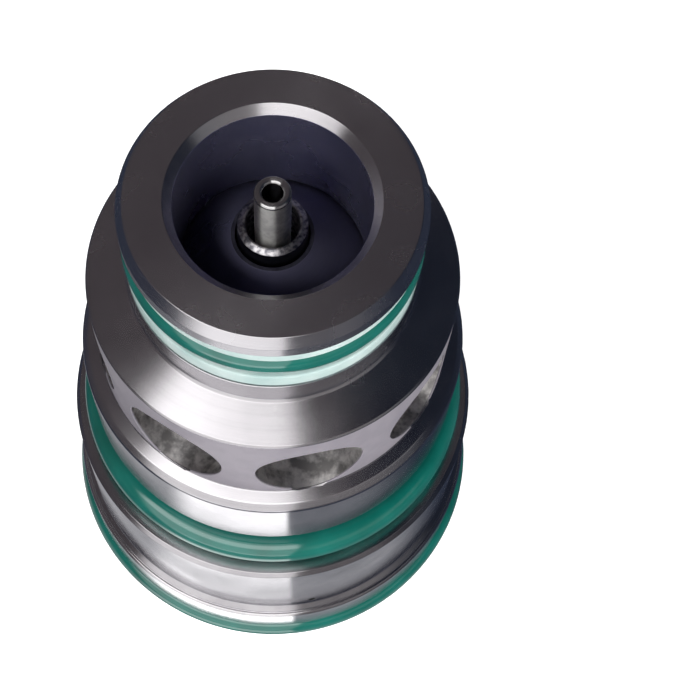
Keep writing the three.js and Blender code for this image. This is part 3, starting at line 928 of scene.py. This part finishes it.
def table_glow(azimuth, radius):
    """How bright the table round the valve looks in its walls, from the foot outwards."""
    side = wrapped(azimuth)
    foot = 1 - soft_step(radius, FOOT_EDGE, 1.2 * MM)
    middle = band(radius, FOOT_EDGE, MIDDLE_EDGE, 1.2 * MM, 1.5 * MM)
    near = 1 - soft_step(radius, NEAR_EDGE, 20 * MM)
    reach = 0.08 + 0.92 * near + soft_step(radius, FAR_EDGE, 100 * MM)
    key = reach * (1.9 - 1.87 * middle + 1.2 * foot) * band(side, -42, 6.5, 16, 1.5)
    grey = reach * (0.14 + 0.4 * middle - 0.1 * foot) * band(side, 6.5, 55, 1.5, 40)
    beside = near * 0.45 * band(side, -150, -42, 30, 16)
    behind = near * (0.5 - 0.2 * middle) * band(wrapped(azimuth - 180), -35, 35, 20, 20)
    return LAMP * (key + grey + behind + beside) + COOL_SHADE * 0.07


def glow_material(name):
    paint = Paint(name)
    glow = paint.node("ShaderNodeAttribute", attribute_name="glow").outputs["Vector"]
    paint.set(Base_Color=(0, 0, 0, 1), Roughness=1.0, Specular_IOR_Level=0.0)
    paint.set(Emission_Color=glow, Emission_Strength=1.0)
    paint.material.cycles.emission_sampling = "NONE"
    return paint.material


def reflector(name, rows, point_of, glow_of):
    """A stage surface that only shows in reflections. Each of its points has its own brightness."""
    mesh = bmesh.new()
    glow = mesh.verts.layers.float_vector.new("glow")
    grid = []
    for row in range(rows + 1):
        line = []
        for index in range(COLUMNS):
            share, azimuth = row / rows, 360 * index / COLUMNS
            vertex = mesh.verts.new(point_of(share, azimuth))
            vertex[glow] = glow_of(share, azimuth)
            line.append(vertex)
        grid.append(line)
    for here, there in zip(grid, grid[1:]):
        for index in range(COLUMNS):
            onward = (index + 1) % COLUMNS
            mesh.faces.new((here[index], here[onward], there[onward], there[index]))
    data = bpy.data.meshes.new(name)
    mesh.to_mesh(data)
    mesh.free()
    data.materials.append(glow_material(name))
    card = bpy.data.objects.new(name, data)
    bpy.context.scene.collection.objects.link(card)
    card.visible_camera = False
    card.visible_diffuse = False
    card.visible_shadow = False
    card.visible_transmission = False


def make_dome():
    def elevation_of(share):
        return DOME_LOW + (DOME_HIGH - DOME_LOW) * share

    def point_of(share, azimuth):
        elevation = math.radians(elevation_of(share))
        return towards(CAMERA_AZIMUTH + math.radians(azimuth), elevation) * DOME_RADIUS

    def glow_of(share, azimuth):
        return dome_glow(azimuth, elevation_of(share))

    reflector("studio_dome", DOME_ROWS, point_of, glow_of)


def make_table():
    def radius_of(share):
        return TABLE_REACH * share ** 2 + TABLE_HOLE

    def point_of(share, azimuth):
        direction = towards(CAMERA_AZIMUTH + math.radians(azimuth))
        return direction * radius_of(share) + Vector((0, 0, -TABLE_DROP))

    def glow_of(share, azimuth):
        return table_glow(azimuth, radius_of(share))

    reflector("studio_table", TABLE_ROWS, point_of, glow_of)


def soft_light(name, azimuth, elevation, distance, size, power):
    """A square lamp that lights the matt surfaces and doesn't show in the bright ones."""
    data = bpy.data.lights.new(name, "AREA")
    data.shape = "SQUARE"
    data.size = size
    data.energy = power
    light = bpy.data.objects.new(name, data)
    direction = towards(CAMERA_AZIMUTH + math.radians(azimuth), math.radians(elevation))
    light.location = direction * distance
    light.rotation_euler = direction.to_track_quat("Z", "Y").to_euler()
    light.visible_glossy = False
    bpy.context.scene.collection.objects.link(light)


def make_floor():
    """A pale floor that glows enough to stay white round the valve."""
    paint = Paint("pale_floor")
    cloud = paint.noise(paint.place_of(), scale=6, detail=2)
    colour = paint.ramp(cloud, [(0.4, (0.93, 0.93, 0.93)), (0.6, (0.95, 0.95, 0.95))])
    paint.set(Base_Color=colour, Roughness=0.9)
    paint.set(Emission_Color=(1, 1, 1, 1), Emission_Strength=0.5)
    mesh = bmesh.new()
    bmesh.ops.create_circle(mesh, cap_ends=True, radius=FLOOR_RADIUS, segments=SMALL)
    floor = finish_mesh("floor", mesh, smooth=False)
    floor.data.materials.append(paint.material)
    floor.visible_glossy = False


def make_world():
    world = bpy.data.worlds.new("studio")
    world.use_nodes = True
    background = world.node_tree.nodes["Background"]
    background.inputs["Color"].default_value = (0.95, 0.96, 1.0, 1)
    background.inputs["Strength"].default_value = 0.06
    bpy.context.scene.world = world


make_camera()
make_dome()
make_table()
make_floor()
make_world()
soft_light("key_light", azimuth=42, elevation=27, distance=0.9, size=0.7, power=13)
soft_light("top_light", azimuth=-35, elevation=52, distance=1.0, size=0.3, power=12)
bpy.context.scene.view_settings.view_transform = "Standard"
